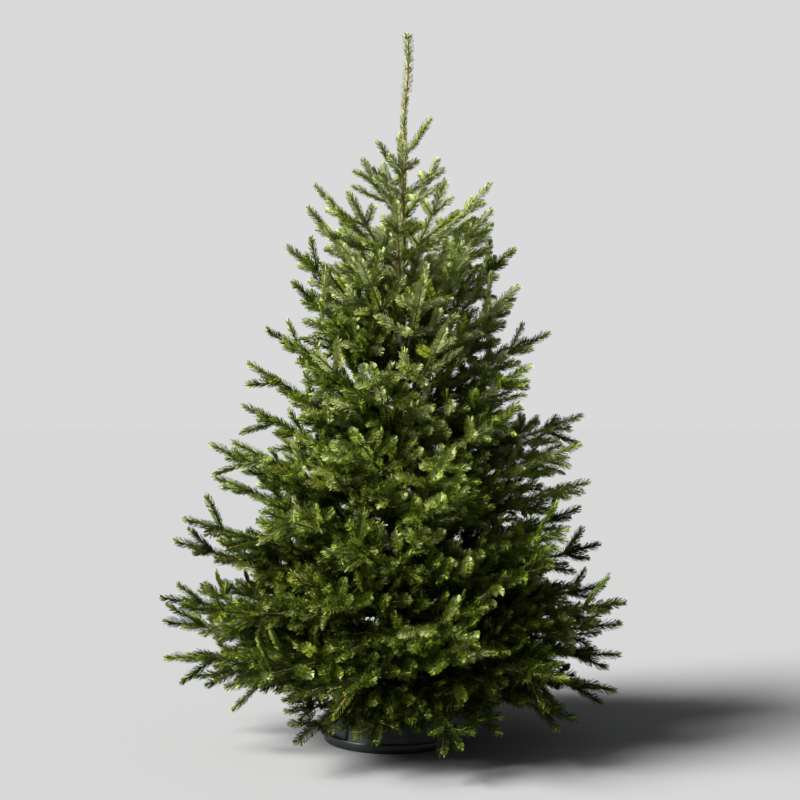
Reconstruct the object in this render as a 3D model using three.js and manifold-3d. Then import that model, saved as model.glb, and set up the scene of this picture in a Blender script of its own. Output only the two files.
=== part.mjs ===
// A cut fir for Christmas, about 2.1 m tall: one straight trunk with eight whorls of boughs, three top shoots and a
// leader, clamped upright by three screws in a round green plastic stand. Millimetres, +Z up. The origin is the centre
// of the stand's flat underside, and the tree's front faces -Y.
import * as THREE from "three";
import { mergeVertices } from "three/addons/utils/BufferGeometryUtils.js";
import Module from "manifold-3d";

const wasm = await Module();
wasm.setup();

// Gap between two pieces that touch, and the shortest edge that a face keeps.
const CLEARANCE = 0.3;
const SHORTEST_EDGE = 0.15;

// Trunk: a flat cut foot with a flare, a long taper, a slight lean to +X and a thin leader.
const TREE_HEIGHT = 2100;
const TRUNK_FOOT = 30;
const FLARE_RADIUS = 47;
const BUTT_RADIUS = 41;
const CROWN_RADIUS = 9;
const LEADER_RADIUS = 5.5;
const LEADER_TIP_RADIUS = 3;
const FLARE_TOP = 95;
const CROWN_TOP = 1430;
const LEADER_FOOT = 1730;
const BUD_LENGTH = 20;
const BUD_RADIUS = 6.5;
const LEAN = 42;
const LEADER_WAVE = 5;
const TRUNK_SIDES = 10;

// Stand: a round foot with a raised lip, a tapering drum with flat pilasters, and a bowl for the trunk and its water.
const STAND_RADIUS = 205;
const LIP_HEIGHT = 26;
const LIP_WIDTH = 5;
const TROUGH_HEIGHT = 9;
const DRUM_FOOT_RADIUS = 187;
const DRUM_TOP_RADIUS = 152;
const STAND_HEIGHT = 150;
const DRUM_WALL = 6;
const RIM_OVERHANG = 5;
const RIM_HEIGHT = 9;
const BOWL_FLOOR = 14;
const BOSS_RADIUS = 62;
const STAND_SEGMENTS = 24;
const PILASTERS = 6;
const PILASTER_WIDTH = 92;
const PILASTER_DEPTH = 5;
const SCREWS = 3;
const SCREW_HEIGHT = 128;
const SCREW_RADIUS = 5;
const SCREW_COLLAR_RADIUS = 12;
const SCREW_COLLAR_WIDTH = 7;
const SCREW_WING_LENGTH = 26;
const SCREW_WING_HALF_WIDTH = 16;
const SCREW_WING_HALF_THICKNESS = 3;
const SCREW_REACH = 205;

// Growth rule of every bough: yearly lengths from root to tip, with a pair of side shoots at each joint.
const YEAR = 132;
const SIDE_ANGLE = 46;
const SIDE_ANGLE_SPREAD = 9;
const SIDE_SHARE_SPREAD = 0.3;
const SIDE_FORWARD_BEND = 7;
const SIDE_ANGLE_EASINGS = [0, 11, 22];
const SIDE_TILT = 16;
const SHORTEST_SHOOT = 68;
const LONGEST_ORDER = 1;

// The shoots of a joint: one to each side, and by turns one above or one below. lift: its angle above its branch.
// share: its length as a share of what is left of the branch, but no less than least. turns: which joints carry it.
// code: its key for the random numbers.
const SIDES = [
  { code: 1, side: -1, lift: 0, share: 0.64, least: 0, turns: [0, 1] },
  { code: 2, side: 1, lift: 0, share: 0.64, least: 0, turns: [0, 1] },
  { code: 3, side: 0.4, lift: 46, share: 0.4, least: 125, turns: [0] },
  { code: 4, side: -0.4, lift: -42, share: 0.4, least: 125, turns: [1] },
];

// Boughs of each whorl: azimuth, length, and how much steeper each rises than its whorl.
const BOUGHS = {
  top: [[182, 132, 0], [-4, 132, 0], [100, 132, 0]],
  whorl_1: [[-128, 330, -3], [-58, 330, 0], [6, 350, -4], [88, 330, -2], [172, 355, -3]],
  whorl_2: [[-110, 420, -3], [-50, 405, 1], [4, 435, -3], [96, 420, -2], [182, 440, -1]],
  whorl_3: [[-128, 450, -3], [-70, 450, 2], [-4, 500, -5], [70, 460, -2], [174, 480, 0]],
  whorl_4: [[-104, 540, -3], [-46, 545, 2], [8, 590, -7], [92, 540, -2], [176, 520, 1]],
  whorl_5: [[-128, 600, -3], [-74, 605, 2], [-12, 590, -1], [62, 600, -2], [170, 590, 0]],
  whorl_6: [[-106, 650, -3], [-50, 650, 2], [6, 620, 1], [84, 650, -2], [178, 670, 2]],
  whorl_7: [[-126, 690, -3], [-76, 690, 2], [-20, 670, 3], [60, 690, -2], [168, 715, -1]],
  lowest: [[-118, 570, -3], [-74, 630, -1], [-38, 640, 1], [4, 670, 2], [92, 640, -2], [176, 610, 4]],
};

// Whorls from the top down. height: where the boughs leave the trunk. length: usual length of a bough. years: its
// yearly lengths. rise and lift: its angle above level at the trunk and at the tip. spread: of its boughs' heights.
const WHORLS = [
  { name: "top", height: 1690, length: 132, years: 1, rise: 56, lift: 60, spread: 70 },
  { name: "whorl_1", height: 1390, length: 345, years: 3, rise: 40, lift: 58, spread: 45 },
  { name: "whorl_2", height: 1150, length: 425, years: 4, rise: 44, lift: 40, spread: 50 },
  { name: "whorl_3", height: 930, length: 470, years: 4, rise: 36, lift: 32, spread: 50 },
  { name: "whorl_4", height: 730, length: 550, years: 5, rise: 28, lift: 26, spread: 45 },
  { name: "whorl_5", height: 565, length: 600, years: 5, rise: 18, lift: 21, spread: 40 },
  { name: "whorl_6", height: 425, length: 650, years: 6, rise: 8, lift: 15, spread: 30 },
  { name: "whorl_7", height: 325, length: 690, years: 6, rise: -5, lift: 8, spread: 20 },
  { name: "lowest", height: 270, length: 640, years: 5, rise: -16, lift: -9, spread: 14 },
];
const OPEN_WHORLS = 2;
const LIMBED_WHORLS = ["whorl_1", "lowest"];
const LOWEST_TWIG = 60;
const STAND_HEADROOM = 195;
const STAND_ROOM_RADIUS = 240;

// Limbs, twigs and sprays of needles.
const BOUGH_RADIUS_SHARE = 0.018;
const TWIG_RADIUS = 3.2;
const LIMB_SHARE = 0.86;
const LIMB_SIDES = 6;
const SPRAY_HALF_WIDTH = 36;
const SPRAY_HALF_HEIGHT = 29;
const OPEN_SPRAY_SHARE = 0.6;
const SPRAY_WIDEST = 0.55;
const SPRAY_SWEEP = 0.13;
const SPRAY_OVERRUN = 22;
const SPRAY_MARGIN = 2.5;
const FROND_ROOT = 0.12;
const FROND_WIDEST_AT = 0.56;
const FROND_WIDEST = 0.37;
const CORE_START = 0.16;
const CORE_END = 0.8;
const CORE_RINGS = 3;
const CORE_WIDTH_SHARE = 0.3;
const CORE_HALF_HEIGHT = 38;
const CORE_SIDES = 5;

// Leader: needles that stand up round it, and buds in twos and threes.
const LEADER_NEEDLES = 24;
const LEADER_NEEDLES_FOOT = 1815;
const NEEDLE_LENGTH = 22;
const NEEDLE_RADIUS = 1.8;
const GOLDEN_TURN = 137.5;
const LEADER_BUDS = [
  { height: 2078, count: 4 },
  { height: 1985, count: 2 },
  { height: 1922, count: 2 },
];

// Colours of the materials, as linear shares of red, green and blue.
const BARK = new THREE.MeshStandardMaterial({ color: new THREE.Color(0.16, 0.1, 0.055), roughness: 0.9 });
const NEEDLES = new THREE.MeshStandardMaterial({ color: new THREE.Color(0.05, 0.1, 0.02), roughness: 0.5 });
const PLASTIC = new THREE.MeshStandardMaterial({ color: new THREE.Color(0.006, 0.02, 0.013), roughness: 0.35 });
const STEEL = new THREE.MeshStandardMaterial({ color: new THREE.Color(0.5, 0.5, 0.48), roughness: 0.35, metalness: 1 });

// A number from 0 to 1 that depends only on its whole-number keys.
function draw(...keys) {
  const modulus = 2147483647;
  let state = 20261;
  for (const key of [...keys, 7]) state = (state * 16807 + key * 7919 + 11) % modulus;
  return ((state * 16807) % modulus) / modulus;
}

function radians(degrees) {
  return (degrees * Math.PI) / 180;
}

// Centre of the trunk at a height.
function trunkCentre(height) {
  const share = height / TREE_HEIGHT;
  const wave = height > LEADER_FOOT ? Math.sin(((height - LEADER_FOOT) / (TREE_HEIGHT - LEADER_FOOT)) * Math.PI * 2) : 0;
  return new THREE.Vector3(LEAN * share - LEADER_WAVE * wave, 0, height);
}

// Radius of the trunk at a height, by its four stretches.
function trunkRadius(height) {
  const { mapLinear } = THREE.MathUtils;
  if (height < FLARE_TOP) return mapLinear(height, TRUNK_FOOT, FLARE_TOP, FLARE_RADIUS, BUTT_RADIUS);
  if (height < CROWN_TOP) return mapLinear(height, FLARE_TOP, CROWN_TOP, BUTT_RADIUS, CROWN_RADIUS);
  if (height < LEADER_FOOT) return mapLinear(height, CROWN_TOP, LEADER_FOOT, CROWN_RADIUS, LEADER_RADIUS);
  return mapLinear(height, LEADER_FOOT, TREE_HEIGHT - BUD_LENGTH, LEADER_RADIUS, LEADER_TIP_RADIUS);
}

// A ring of points round a centre, in the plane of two unit vectors.
function ring(centre, side, up, halfWidth, halfHeight, count) {
  return Array.from({ length: count }, (_, i) => {
    const turn = (2 * Math.PI * i) / count;
    return centre
      .clone()
      .addScaledVector(side, halfWidth * Math.cos(turn))
      .addScaledVector(up, halfHeight * Math.sin(turn));
  });
}

// A closed surface through rings of equal count. The first and the last may be single points.
function loft(rings) {
  const points = rings.flat();
  const starts = rings.map((_, i) => rings.slice(0, i).reduce((sum, r) => sum + r.length, 0));
  const faces = [];
  for (let i = 0; i + 1 < rings.length; i += 1) {
    const count = Math.max(rings[i].length, rings[i + 1].length);
    for (let j = 0; j < count; j += 1) {
      const next = (j + 1) % count;
      const a = starts[i] + (j % rings[i].length);
      const b = starts[i] + (next % rings[i].length);
      const c = starts[i + 1] + (next % rings[i + 1].length);
      const d = starts[i + 1] + (j % rings[i + 1].length);
      if (a !== b) faces.push(a, b, c);
      if (c !== d) faces.push(a, c, d);
    }
  }
  const cap = (start, count, flipped) => {
    for (let j = 1; j + 1 < count; j += 1) {
      if (flipped) faces.push(start, start + j + 1, start + j);
      else faces.push(start, start + j, start + j + 1);
    }
  };
  cap(starts[0], rings[0].length, true);
  cap(starts.at(-1), rings.at(-1).length, false);
  const geometry = new THREE.BufferGeometry().setFromPoints(points);
  geometry.setIndex(faces);
  return geometry;
}

// A three.js geometry as a solid, with its faces turned outward.
function solidOf(geometry) {
  const bare = geometry.index ? geometry.toNonIndexed() : geometry.clone();
  for (const name of Object.keys(bare.attributes)) if (name !== "position") bare.deleteAttribute(name);
  const merged = mergeVertices(bare, 1e-3);
  const triVerts = new Uint32Array(merged.index.array);
  const made = () =>
    new wasm.Manifold(new wasm.Mesh({ numProp: 3, vertProperties: merged.attributes.position.array, triVerts }));
  const solid = made();
  if (solid.volume() > 0) return solid;
  for (let i = 0; i < triVerts.length; i += 3) triVerts.subarray(i + 1, i + 3).reverse();
  return made();
}

// A solid as a named mesh. Of several bodies only the largest is kept, so no loose scrap stays.
function meshOf(name, solid, material) {
  const bodies = solid.simplify(SHORTEST_EDGE).decompose().sort((a, b) => b.volume() - a.volume());
  const { numProp, vertProperties, triVerts } = bodies[0].getMesh();
  const geometry = new THREE.BufferGeometry();
  const points = new Float32Array((vertProperties.length / numProp) * 3);
  for (let i = 0; i * numProp < vertProperties.length; i += 1) {
    points.set(vertProperties.subarray(i * numProp, i * numProp + 3), i * 3);
  }
  geometry.setAttribute("position", new THREE.BufferAttribute(points, 3));
  geometry.setIndex(new THREE.BufferAttribute(new Uint32Array(triVerts), 1));
  geometry.computeVertexNormals();
  const mesh = new THREE.Mesh(geometry, material);
  mesh.name = name;
  return mesh;
}

function joined(solids) {
  return solids.reduce((sum, solid) => sum.add(solid));
}

// Unit vectors of a bough's heading, of its left side and of its upper side.
function headingOf(azimuth, pitch) {
  const [a, p] = [radians(azimuth), radians(pitch)];
  const along = new THREE.Vector3(Math.cos(p) * Math.cos(a), Math.cos(p) * Math.sin(a), Math.sin(p));
  const left = new THREE.Vector3(-Math.sin(a), Math.cos(a), 0);
  return { along, left, up: new THREE.Vector3().crossVectors(along, left) };
}

function turned(vector, axis, degrees) {
  return vector.clone().applyAxisAngle(axis, radians(degrees));
}

// One branch and its side branches, each as a list of yearly shoots. It stops where a shoot would leave the bough's
// own place. order is 0 on the bough itself.
function grow(bough, branch) {
  const years = branch.years ?? Math.max(1, Math.floor(branch.length / YEAR + 0.5));
  const step = branch.length / years;
  const shoots = [];
  const sides = [];
  let { start, along, up } = branch;
  for (let year = 0; year < years; year += 1) {
    const left = new THREE.Vector3().crossVectors(up, along).normalize();
    if (year > 0) {
      along = turned(turned(along, left, -branch.bend / years), up, branch.swerve);
      up = new THREE.Vector3().crossVectors(along, left).normalize();
    }
    const shoot = { root: start, tip: start.clone().addScaledVector(along, step), along, left, up };
    if (branch.order > 0 && !sprayOf(bough, shoot)) break;
    shoots.push(shoot);
    const remaining = branch.length - step * (year + 1);
    const joint = year + 1 < years && branch.order < LONGEST_ORDER ? SIDES : [];
    for (const { code, side, lift, share, least, turns } of joint) {
      if (!turns.includes(year % 2) || (lift && bough.rank < OPEN_WHORLS)) continue;
      const keys = [...branch.keys, year, code];
      const length = Math.max(least, remaining * share) * (1 + SIDE_SHARE_SPREAD * (draw(...keys, 1) - 0.5));
      if (length < SHORTEST_SHOOT) continue;
      const angle = SIDE_ANGLE + SIDE_ANGLE_SPREAD * (2 * draw(...keys, 2) - 1);
      const tilt = lift + SIDE_TILT * (2 * draw(...keys, 3) - 1);
      const branchAt = (off) => ({
        start: shoot.tip,
        along: turned(turned(along, left, -tilt), up, side * (angle - off)),
        up,
        length,
        bend: 0,
        swerve: -side * SIDE_FORWARD_BEND,
        order: branch.order + 1,
        keys,
      });
      const tries = SIDE_ANGLE_EASINGS.map((off) => grow(bough, branchAt(off)));
      sides.push(...(tries.find((found) => found.length) ?? []));
    }
    start = shoot.tip;
  }
  return shoots.length ? [{ order: branch.order, shoots }, ...sides] : [];
}

// Every bough of a whorl, with the half angles of the space that it keeps to.
function boughsOf(whorl, rank) {
  const boughs = BOUGHS[whorl.name];
  return boughs.map(([azimuth, length, steeper], j) => {
    const next = (boughs[(j + 1) % boughs.length][0] - azimuth + 720) % 360;
    const last = (azimuth - boughs.at(j - 1)[0] + 720) % 360;
    const place = ((j * 2) % boughs.length) / (boughs.length - 1) - 0.5;
    const height = whorl.height + whorl.spread * place;
    const { along, up } = headingOf(azimuth, whorl.rise + steeper);
    const start = trunkCentre(height);
    const bend = whorl.lift - whorl.rise;
    const branch = { start, along, up, length, years: whorl.years, bend, swerve: 0, order: 0, keys: [rank, j] };
    return { whorl, rank, number: j + 1, azimuth, length, leftHalf: next / 2, rightHalf: last / 2, branch };
  });
}

// Height of a whorl's boughs at a distance from the trunk.
function whorlHeight(whorl, distance) {
  const share = Math.min(1, distance / whorl.length);
  const slope = whorl.rise + ((whorl.lift - whorl.rise) * share) / 2;
  return whorl.height + distance * Math.tan(radians(slope));
}

// Room left at a point between a bough's own place and its neighbours: to the sides, above, below and to the trunk.
function roomAt(bough, point) {
  const centre = trunkCentre(point.z);
  const distance = Math.hypot(point.x - centre.x, point.y - centre.y);
  const azimuth = THREE.MathUtils.radToDeg(Math.atan2(point.y - centre.y, point.x - centre.x));
  const off = ((azimuth - bough.azimuth + 900) % 360) - 180;
  const spare = Math.min(90, off > 0 ? bough.leftHalf - off : bough.rightHalf + off);
  const mid = (a, b) => (whorlHeight(a, distance) + whorlHeight(b, distance)) / 2;
  const above = WHORLS[bough.rank - 1];
  const below = WHORLS[bough.rank + 1];
  const ground = distance < STAND_ROOM_RADIUS ? STAND_HEADROOM : LOWEST_TWIG;
  const steep = Math.cos(radians(bough.whorl.rise));
  return {
    side: distance * Math.sin(radians(spare)),
    over: above ? (mid(above, bough.whorl) - point.z) * steep : Infinity,
    under: (point.z - (below ? mid(bough.whorl, below) : ground)) * (below ? steep : 1),
    trunk: distance - trunkRadius(point.z),
  };
}

function fits(bough, points, margin) {
  return points.every((point) => Math.min(...Object.values(roomAt(bough, point))) > margin);
}

// Three corners of a shoot's section: flat below, ridged above. sweep sets the side corners forward, as needles lean.
function section(centre, { along, left, up }, halfWidth, halfHeight, sweep = 0) {
  const corner = (across, high, ahead) =>
    centre.clone().addScaledVector(left, across).addScaledVector(up, high).addScaledVector(along, ahead);
  return [
    corner(halfWidth, -halfHeight / 2, sweep),
    corner(0, halfHeight, -sweep),
    corner(-halfWidth, -halfHeight / 2, sweep),
  ];
}

// The needles round one shoot, as the widest section and the point past the shoot's tip: a barbed blade with a ridge.
// They are narrowed where the bough's place is tight, and are missing where there is no room at all.
function sprayOf(bough, shoot) {
  const length = shoot.root.distanceTo(shoot.tip);
  const point = shoot.tip.clone().addScaledVector(shoot.along, SPRAY_OVERRUN);
  const middle = shoot.root.clone().lerp(point, SPRAY_WIDEST);
  const size = bough.rank < OPEN_WHORLS ? OPEN_SPRAY_SHARE : 1;
  for (const share of [1, 0.75, 0.5]) {
    const halfWidth = SPRAY_HALF_WIDTH * size * share * Math.min(1, 0.5 + (0.5 * length) / YEAR);
    const widest = section(middle, shoot, halfWidth, SPRAY_HALF_HEIGHT * size, SPRAY_SWEEP * length);
    if (fits(bough, [...widest, point], SPRAY_MARGIN)) return { widest, point };
  }
  return null;
}

// One branch in one piece: its twig, swelling into a spray of needles on each shoot from leafyFrom on. The root of a
// branch inside a core is a point.
function branchSolid(bough, { shoots }, radius, leafyFrom, sunk) {
  const rings = shoots.flatMap((shoot, year) => {
    const twig = THREE.MathUtils.lerp(radius, TWIG_RADIUS * 0.8, year / shoots.length);
    const joint = year === 0 && sunk ? [shoot.root] : section(shoot.root, shoot, twig, twig);
    const spray = year >= leafyFrom && sprayOf(bough, shoot);
    return spray ? [joint, spray.widest] : [joint];
  });
  const last = sprayOf(bough, shoots.at(-1));
  rings.push([last ? last.point : shoots.at(-1).tip]);
  return solidOf(loft(rings));
}

// A tapering round limb through points.
function limb(points, startRadius, endRadius, sides) {
  const rings = points.map((point, i) => {
    const before = points[Math.max(0, i - 1)];
    const after = points[Math.min(points.length - 1, i + 1)];
    const along = after.clone().sub(before).normalize();
    const left = new THREE.Vector3(-along.y, along.x, 0).normalize();
    const up = new THREE.Vector3().crossVectors(along, left);
    const radius = THREE.MathUtils.lerp(startRadius, endRadius, i / (points.length - 1));
    return ring(point, left, up, radius, radius, sides);
  });
  return solidOf(loft(rings));
}

// Half width of a bough's spread at a share of its length, as a share of that length.
function spreadAt(share) {
  const opening = (FROND_WIDEST * (share - FROND_ROOT)) / (FROND_WIDEST_AT - FROND_ROOT);
  const closing = (FROND_WIDEST * (1 - share)) / (1 - FROND_WIDEST_AT);
  return Math.max(0, Math.min(opening, closing));
}

// The core of a dense mass: a flat body with the outline of a kite, well inside the bough's own place.
function core(bough, path, begin) {
  const curve = new THREE.CatmullRomCurve3(path);
  const along = path.at(-1).clone().sub(path[0]).normalize();
  const left = new THREE.Vector3(-along.y, along.x, 0).normalize();
  const up = new THREE.Vector3().crossVectors(along, left);
  const rings = [[curve.getPointAt(begin)]];
  for (let i = 1; i <= CORE_RINGS; i += 1) {
    const share = THREE.MathUtils.lerp(begin, CORE_END, i / (CORE_RINGS + 1));
    const centre = curve.getPointAt(share);
    const room = roomAt(bough, centre);
    const halfWidth = Math.min(CORE_WIDTH_SHARE * spreadAt(share) * bough.length, room.side * 0.8);
    const thick = Math.sin((Math.PI * i) / (CORE_RINGS + 1)) ** 0.6;
    const halfHeight = Math.min(CORE_HALF_HEIGHT, room.over * 0.7, room.under * 0.7) * thick;
    rings.push(ring(centre, left, up, halfWidth, halfHeight, CORE_SIDES));
  }
  rings.push([curve.getPointAt(CORE_END)]);
  return solidOf(loft(rings));
}

// Trunk with its buds and the needles of its leader.
function makeTrunk() {
  const heights = [TRUNK_FOOT, FLARE_TOP, 400, 800, 1150, CROWN_TOP, LEADER_FOOT, 1830, 1920, 2010];
  const rings = [];
  const sideways = new THREE.Vector3(1, 0, 0);
  const inward = new THREE.Vector3(0, 1, 0);
  for (const height of heights) {
    const radius = trunkRadius(height);
    rings.push(ring(trunkCentre(height), sideways, inward, radius, radius, TRUNK_SIDES));
  }
  const budFoot = TREE_HEIGHT - BUD_LENGTH;
  const budRing = (height, radius) => ring(trunkCentre(height), sideways, inward, radius, radius, TRUNK_SIDES);
  rings.push(budRing(budFoot, LEADER_TIP_RADIUS), budRing(budFoot + 7, BUD_RADIUS));
  rings.push([trunkCentre(TREE_HEIGHT)]);
  const pieces = [solidOf(loft(rings))];
  for (const { height, count } of LEADER_BUDS) {
    for (let j = 0; j < count; j += 1) {
      const { along, left, up } = headingOf((j * 360) / count + 20, 42);
      const root = trunkCentre(height);
      const middle = root.clone().addScaledVector(along, 9);
      const tip = root.clone().addScaledVector(along, 18);
      pieces.push(solidOf(loft([[root], ring(middle, left, up, 5, 5, 5), [tip]])));
    }
  }
  for (let j = 0; j < LEADER_NEEDLES; j += 1) {
    const height = THREE.MathUtils.lerp(LEADER_NEEDLES_FOOT, budFoot - 15, j / LEADER_NEEDLES);
    const { along, left, up } = headingOf(j * GOLDEN_TURN, 40 + 16 * draw(j, 5));
    const root = trunkCentre(height);
    const tip = root.clone().addScaledVector(along, NEEDLE_LENGTH);
    pieces.push(solidOf(loft([ring(root, left, up, NEEDLE_RADIUS, NEEDLE_RADIUS, 3), [tip]])));
  }
  return joined(pieces);
}

// The trunk's shape grown by the clearance, which cuts limbs and masses clear of it.
function makeTrunkRoom() {
  const grown = CLEARANCE / Math.cos(Math.PI / TRUNK_SIDES);
  const heights = [TRUNK_FOOT - 20, FLARE_TOP, 400, 800, 1150, CROWN_TOP, LEADER_FOOT, 1830];
  const sideways = new THREE.Vector3(1, 0, 0);
  const inward = new THREE.Vector3(0, 1, 0);
  const rings = heights.map((height) => {
    const radius = trunkRadius(height) + grown;
    return ring(trunkCentre(height), sideways, inward, radius, radius, TRUNK_SIDES);
  });
  return solidOf(loft(rings));
}

// Points of a branch's own axis, from its root to its tip.
function axisOf(branch) {
  return [branch.shoots[0].root, ...branch.shoots.map((shoot) => shoot.tip)];
}

// A bare limb from the trunk to just before the bough's first joint.
function makeLimb(bough, axis, trunkRoom) {
  const end = axis[0].clone().lerp(axis[1], LIMB_SHARE);
  const radius = bough.length * BOUGH_RADIUS_SHARE;
  const middle = axis[0].clone().lerp(end, 0.5);
  return limb([axis[0], middle, end], radius, radius * 0.75, LIMB_SIDES).subtract(trunkRoom);
}

// A mass of foliage: its stem, its twigs with their sprays of needles, and a core where it is dense.
function makeMass(bough, branches, trunkRoom, limbed) {
  const axis = axisOf(branches[0]);
  const radius = bough.length * BOUGH_RADIUS_SHARE * 0.75;
  const dense = bough.rank >= OPEN_WHORLS;
  if (limbed) {
    const inward = axis[0].clone().sub(axis[1]).normalize();
    const first = branches[0].shoots[0];
    first.root = axis[0].clone().lerp(axis[1], LIMB_SHARE).addScaledVector(inward, -CLEARANCE);
  }
  const pieces = branches.map((branch) => {
    if (branch.order > 0) return branchSolid(bough, branch, TWIG_RADIUS, 0, dense);
    const years = branch.shoots.length;
    return branchSolid(bough, branch, radius, dense ? years - 2 : Math.min(1, years - 1), false);
  });
  if (dense) pieces.push(core(bough, axis, limbed ? 1.15 / bough.whorl.years : CORE_START));
  return joined(pieces).subtract(trunkRoom);
}

// The stand's outline, from the axis outward, up over the lip and the drum, and down into the bowl.
function makeStand() {
  const bossTop = TRUNK_FOOT - CLEARANCE;
  const profile = [
    [0, 0],
    [STAND_RADIUS - 2, 0],
    [STAND_RADIUS, 2],
    [STAND_RADIUS, LIP_HEIGHT - 2],
    [STAND_RADIUS - 2, LIP_HEIGHT],
    [STAND_RADIUS - LIP_WIDTH, LIP_HEIGHT - 2],
    [STAND_RADIUS - LIP_WIDTH, TROUGH_HEIGHT],
    [DRUM_FOOT_RADIUS, TROUGH_HEIGHT],
    [DRUM_TOP_RADIUS, STAND_HEIGHT - RIM_HEIGHT],
    [DRUM_TOP_RADIUS + RIM_OVERHANG, STAND_HEIGHT - RIM_HEIGHT],
    [DRUM_TOP_RADIUS + RIM_OVERHANG, STAND_HEIGHT],
    [DRUM_TOP_RADIUS - DRUM_WALL, STAND_HEIGHT],
    [DRUM_FOOT_RADIUS - DRUM_WALL - 22, BOWL_FLOOR + 18],
    [DRUM_FOOT_RADIUS - DRUM_WALL - 40, BOWL_FLOOR],
    [BOSS_RADIUS, BOWL_FLOOR],
    [BOSS_RADIUS - 3, bossTop],
    [0, bossTop],
  ];
  const outline = profile.map(([radius, height]) => new THREE.Vector2(radius, height));
  const turnUp = new THREE.Matrix4().makeRotationX(Math.PI / 2);
  let stand = solidOf(new THREE.LatheGeometry(outline, STAND_SEGMENTS).applyMatrix4(turnUp));
  const foot = TROUGH_HEIGHT - 1;
  const top = STAND_HEIGHT - RIM_HEIGHT + 1;
  for (let j = 0; j < PILASTERS; j += 1) {
    const azimuth = (j * 360) / PILASTERS + 30;
    const { along, left } = headingOf(azimuth, 0);
    const up = new THREE.Vector3(0, 0, 1);
    const band = (height, radius) =>
      [
        [-1, -DRUM_WALL],
        [1, -DRUM_WALL],
        [0.94, PILASTER_DEPTH],
        [-0.94, PILASTER_DEPTH],
      ].map(([across, out]) =>
        new THREE.Vector3()
          .addScaledVector(up, height)
          .addScaledVector(along, radius - 1 + out)
          .addScaledVector(left, (across * PILASTER_WIDTH) / 2),
      );
    stand = stand.add(solidOf(loft([band(foot, DRUM_FOOT_RADIUS), band(top, DRUM_TOP_RADIUS)])));
  }
  for (const screw of screwPlaces()) stand = stand.subtract(screwShank(screw, SCREW_RADIUS + CLEARANCE));
  return stand;
}

// Where the clamp screws stand: evenly round the drum, each in the middle of a pilaster.
function screwPlaces() {
  return Array.from({ length: SCREWS }, (_, j) => headingOf((j * 360) / SCREWS + 90, 0));
}

// A point on a screw's axis at a distance from the stand's own axis.
function screwPoint({ along }, reach) {
  return new THREE.Vector3(0, 0, SCREW_HEIGHT).addScaledVector(along, reach);
}

function screwShank(place, radius) {
  const { left, up } = place;
  const ends = [20, SCREW_REACH - SCREW_WING_LENGTH];
  return solidOf(loft(ends.map((reach) => ring(screwPoint(place, reach), left, up, radius, radius, 10))));
}

// A clamp screw: a steel shank through the drum's wall, with a collar and a flat wing to turn it by.
function makeScrew(place, trunkRoom) {
  const { left, up } = place;
  const wingFoot = SCREW_REACH - SCREW_WING_LENGTH;
  const across = (reach, thick, wide) => ring(screwPoint(place, reach), left, up, thick, wide, 10);
  const collar = loft([
    across(wingFoot - SCREW_COLLAR_WIDTH, SCREW_COLLAR_RADIUS, SCREW_COLLAR_RADIUS),
    across(wingFoot, SCREW_COLLAR_RADIUS * 0.8, SCREW_COLLAR_RADIUS * 0.8),
  ]);
  const wing = loft([
    across(wingFoot - 1, SCREW_RADIUS, SCREW_RADIUS * 1.3),
    across(wingFoot + SCREW_WING_LENGTH * 0.55, SCREW_WING_HALF_THICKNESS, SCREW_WING_HALF_WIDTH),
    across(SCREW_REACH, SCREW_WING_HALF_THICKNESS * 0.8, SCREW_WING_HALF_WIDTH * 0.75),
  ]);
  return joined([screwShank(place, SCREW_RADIUS), solidOf(collar), solidOf(wing)]).subtract(trunkRoom);
}

const tree = new THREE.Group();
const trunkRoom = makeTrunkRoom();
tree.add(meshOf("trunk", makeTrunk(), BARK));
tree.add(meshOf("stand", makeStand(), PLASTIC));
screwPlaces().forEach((place, j) => {
  tree.add(meshOf(`clamp_screw_${j + 1}`, makeScrew(place, trunkRoom), STEEL));
});
WHORLS.forEach((whorl, rank) => {
  for (const bough of boughsOf(whorl, rank)) {
    const branches = grow(bough, bough.branch);
    const limbed = LIMBED_WHORLS.includes(whorl.name);
    if (limbed) {
      const solid = makeLimb(bough, axisOf(branches[0]), trunkRoom);
      tree.add(meshOf(`${whorl.name}_bough_${bough.number}`, solid, BARK));
    }
    const mass = makeMass(bough, branches, trunkRoom, limbed);
    tree.add(meshOf(`${whorl.name}_foliage_${bough.number}`, mass, NEEDLES));
  }
});

export default tree;
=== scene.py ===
import math

import bpy
import numpy as np
from mathutils import Matrix, Quaternion, Vector, noise


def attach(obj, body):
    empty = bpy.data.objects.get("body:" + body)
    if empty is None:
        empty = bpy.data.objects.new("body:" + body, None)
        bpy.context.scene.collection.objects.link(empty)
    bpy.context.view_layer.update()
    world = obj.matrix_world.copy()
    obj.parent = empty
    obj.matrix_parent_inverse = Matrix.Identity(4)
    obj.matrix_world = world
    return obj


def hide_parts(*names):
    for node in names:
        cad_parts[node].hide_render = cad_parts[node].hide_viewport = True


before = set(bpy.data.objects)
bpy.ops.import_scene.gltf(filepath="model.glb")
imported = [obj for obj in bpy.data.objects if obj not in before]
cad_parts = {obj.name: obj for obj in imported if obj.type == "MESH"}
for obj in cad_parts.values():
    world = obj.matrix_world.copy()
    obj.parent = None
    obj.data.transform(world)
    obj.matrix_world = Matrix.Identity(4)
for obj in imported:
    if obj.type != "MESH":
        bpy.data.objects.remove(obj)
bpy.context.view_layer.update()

# The camera stands 4.5 m in front of the tree at half its height, and looks slightly down.
camera_data = bpy.data.cameras.new("camera")
camera_data.sensor_width = 36
camera_data.lens = 68.13
camera = bpy.data.objects.new("camera", camera_data)
camera.location = (0.021, -4.5, 1.055)
camera.rotation_euler = (math.radians(90 - 0.62), 0, 0)
bpy.context.scene.collection.objects.link(camera)
bpy.context.scene.camera = camera


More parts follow.
